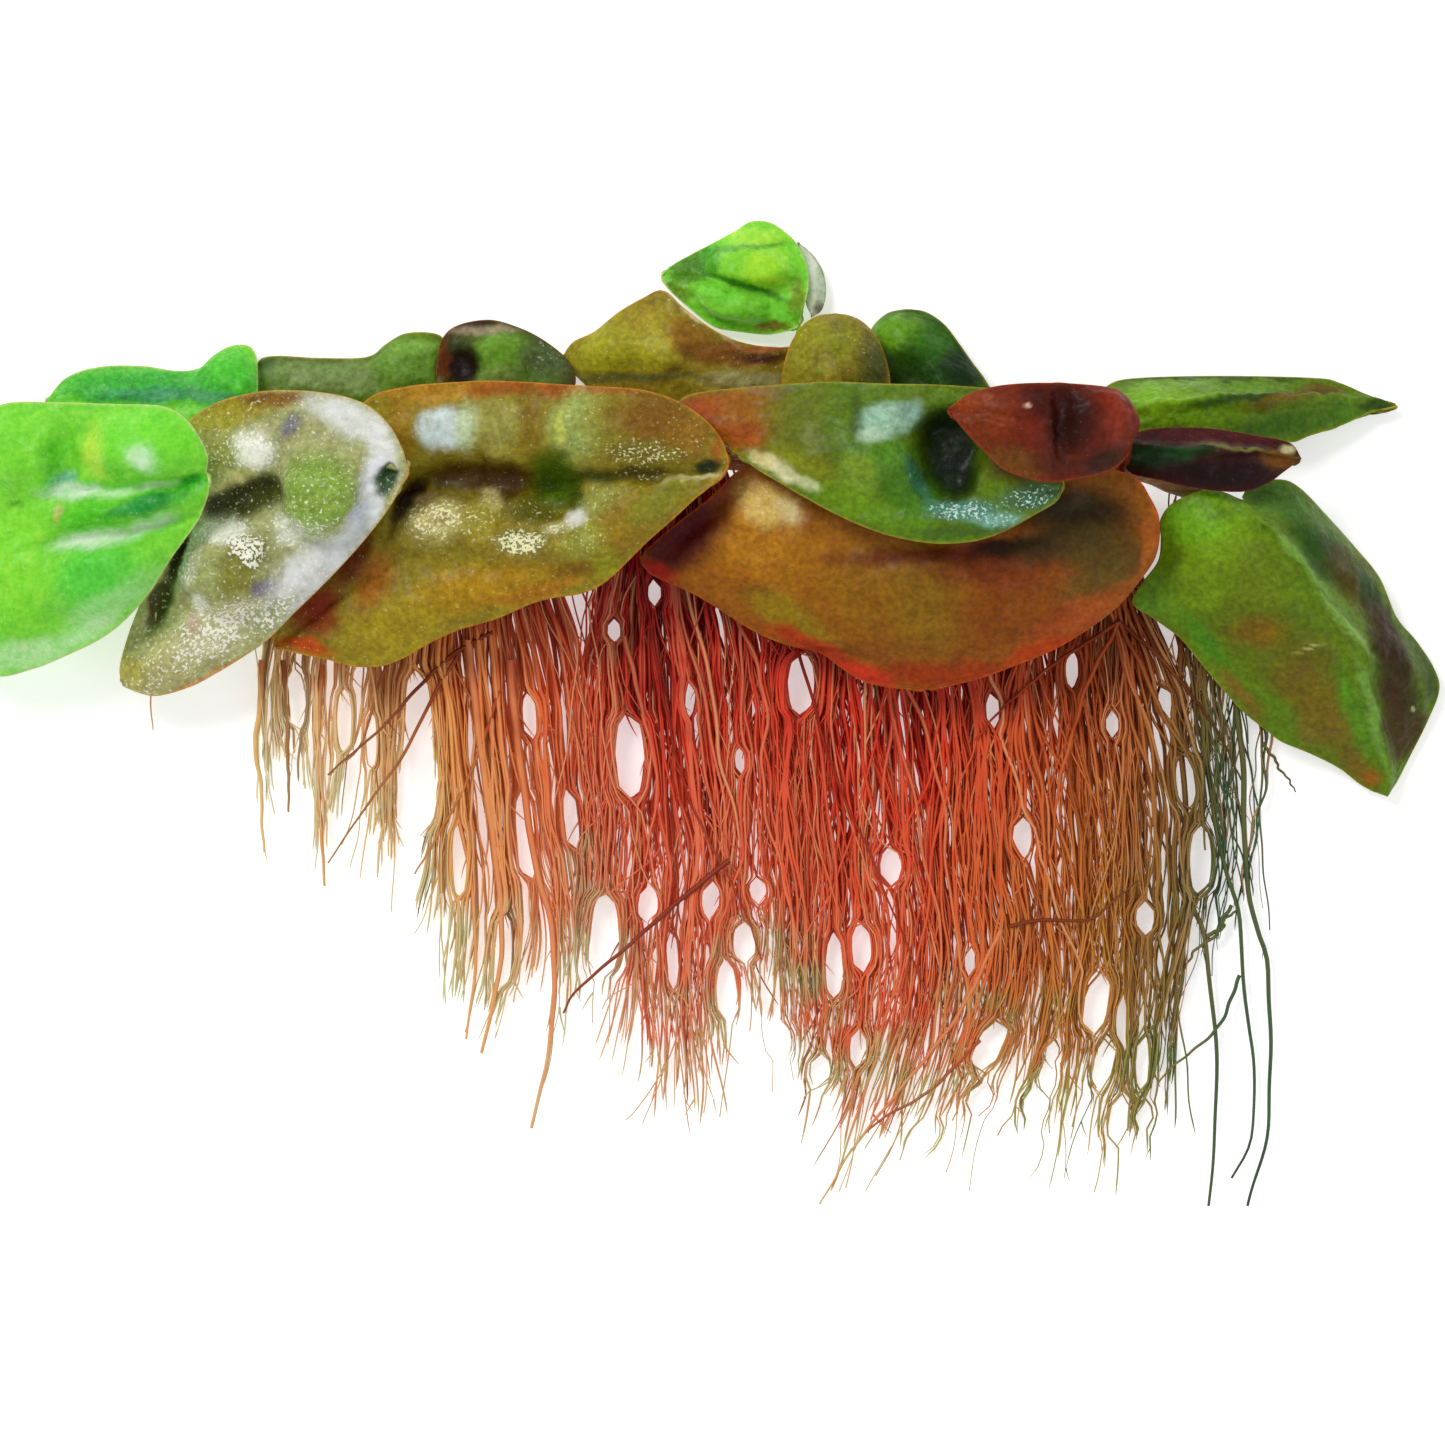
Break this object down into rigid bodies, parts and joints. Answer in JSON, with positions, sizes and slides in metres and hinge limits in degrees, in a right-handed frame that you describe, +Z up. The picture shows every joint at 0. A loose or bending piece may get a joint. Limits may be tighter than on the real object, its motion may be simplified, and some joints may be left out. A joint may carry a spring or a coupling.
{
  "type": "red root floater",
  "caption": "Small floating plant laid on its side: rounded green to russet leaves along a thin stem, with a long fringe of red and orange roots.",
  "frame": {"origin": "middle of the plant's bounding box, on the surface that it lies on", "axes": "+X along the stem towards the drooping leaf, +Y from the root tips towards the leaves, +Z up, away from the surface that the plant lies on"},
  "size_m": [0.0606, 0.0396, 0.0095],
  "materials": {
    "lime_leaf": "gloss",
    "silver_green_leaf": "gloss",
    "olive_leaf": "satin",
    "amber_leaf": "satin",
    "green_leaf": "gloss",
    "russet_leaf": "satin",
    "maroon_leaf": "satin",
    "membrane": "satin",
    "stem_tissue": "satin",
    "pale_root": "satin",
    "orange_root": "satin",
    "red_root": "satin",
    "brown_root": "satin",
    "grey_root": "satin"
  },
  "bodies": {
    "root": {"leaf_front_1": "lime_leaf", "leaf_front_2": "silver_green_leaf", "leaf_front_3": "olive_leaf", "leaf_front_4": "amber_leaf", "leaf_front_5": "green_leaf", "leaf_front_6": "russet_leaf", "leaf_side_1": "green_leaf", "leaf_side_2": "maroon_leaf", "leaf_drooping": "green_leaf", "leaf_back_1": "lime_leaf", "leaf_back_2": "green_leaf", "leaf_back_3": "maroon_leaf", "leaf_back_4": "olive_leaf", "leaf_back_5": "olive_leaf", "leaf_back_6": "green_leaf", "leaf_young": "lime_leaf", "stipule": "membrane", "stem": "stem_tissue", "root_tuft_1": "pale_root", "root_tuft_2": "orange_root", "root_tuft_3": "red_root", "root_tuft_4": "red_root", "root_tuft_5": "brown_root", "root_tuft_6": "grey_root"}
  },
  "joints": []
}
